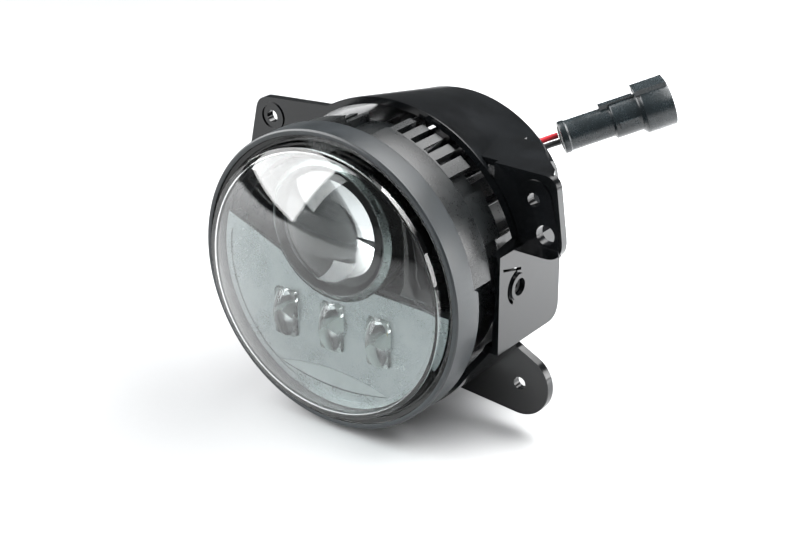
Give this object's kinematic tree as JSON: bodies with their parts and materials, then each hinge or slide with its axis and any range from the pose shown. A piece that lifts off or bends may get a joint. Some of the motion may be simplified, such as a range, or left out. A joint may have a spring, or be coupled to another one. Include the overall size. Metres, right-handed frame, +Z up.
{
  "type": "fog light",
  "caption": "Round LED fog light with a domed clear lens, a tilting finned lamp in a black cup bracket with screw ears, and a short plug pigtail.",
  "frame": {"origin": "on the surface it stands on, under the centre of the light's own box without its pigtail", "axes": "-Y is the way the lamp shines, +X is to the right seen from in front, +Z is up"},
  "size_m": [0.1302, 0.1489, 0.1066],
  "materials": {
    "bezel_paint": "satin black powder coat on die-cast aluminium",
    "lens_clear": "clear hard-coated polycarbonate",
    "gasket_rubber": "matte black silicone",
    "housing_paint": "black painted aluminium casting",
    "pin_black": "black acetal",
    "projector_glass": "polished clear glass",
    "holder_grey": "satin dark grey-green moulding",
    "reflector_chrome": "vacuum aluminised reflector",
    "shield_steel": "stamped steel",
    "led_board_white": "white solder mask on aluminium core",
    "led_amber": "amber phosphor",
    "led_white": "yellow phosphor of a white LED",
    "mask_silver": "satin aluminised moulding",
    "trim_black": "black moulding",
    "optic_clear": "clear moulded acrylic",
    "guide_frosted": "frosted acrylic",
    "driver_green": "green solder mask",
    "capacitor_black": "black sleeve",
    "inductor_grey": "ferrite",
    "cover_seal_orange": "orange silicone",
    "cover_paint": "black painted aluminium casting",
    "screw_steel": "zinc plated steel",
    "gland_rubber": "matte black rubber",
    "nut_nylon": "natural nylon",
    "bracket_black": "glossy black glass-filled nylon",
    "lead_red": "red PVC insulation",
    "lead_black": "black PVC insulation",
    "plug_grey": "charcoal semi-gloss nylon",
    "plug_seal_black": "black silicone",
    "plug_pin_tin": "tin plated brass"
  },
  "bodies": {
    "bracket": {"mounting_bracket": "bracket_black"},
    "lamp_head": {"bezel_ring": "bezel_paint", "outer_lens": "lens_clear", "lens_gasket": "gasket_rubber", "lamp_housing": "housing_paint", "pivot_pin_left": "pin_black", "pivot_pin_right": "pin_black", "projector_lens": "projector_glass", "projector_holder": "holder_grey", "projector_reflector": "reflector_chrome", "cutoff_shield": "shield_steel", "projector_led_board": "led_board_white", "projector_led": "led_amber", "silver_mask": "mask_silver", "upper_trim": "trim_black", "beam_led_board": "led_board_white", "beam_led_left": "led_white", "beam_led_middle": "led_white", "beam_led_right": "led_white", "beam_optic_left": "optic_clear", "beam_optic_middle": "optic_clear", "beam_optic_right": "optic_clear", "accent_light_guide": "guide_frosted", "driver_board": "driver_green", "driver_capacitor": "capacitor_black", "driver_inductor": "inductor_grey", "cover_seal": "cover_seal_orange", "rear_cover": "cover_paint", "cover_screw_1": "screw_steel", "cover_screw_2": "screw_steel", "cover_screw_3": "screw_steel", "cover_screw_4": "screw_steel", "cable_gland": "gland_rubber", "breather_vent": "gland_rubber", "adjuster_nut": "nut_nylon", "red_lead": "lead_red", "black_lead": "lead_black", "plug_shell": "plug_grey", "plug_seal": "plug_seal_black", "plug_pin_left": "plug_pin_tin", "plug_pin_right": "plug_pin_tin"},
    "aiming_screw_body": {"aiming_screw": "screw_steel", "screw_clip": "screw_steel"}
  },
  "joints": [
    {"name": "aim_tilt", "type": "hinge", "parent": "bracket", "child": "lamp_head", "pos_m": [-0.00115, -0.0014, 0.0542], "axis": [1, 0, 0], "range_deg": [-3, 3]},
    {"name": "aiming_screw_spin", "type": "hinge", "parent": "bracket", "child": "aiming_screw_body", "pos_m": [-0.00115, 0.0466, 0.0117], "axis": [0, 1, 0], "range_deg": [-521, 521]}
  ],
  "couplings": [
    {"joint": "aiming_screw_spin", "follows": "aim_tilt", "ratio": 166.9}
  ]
}
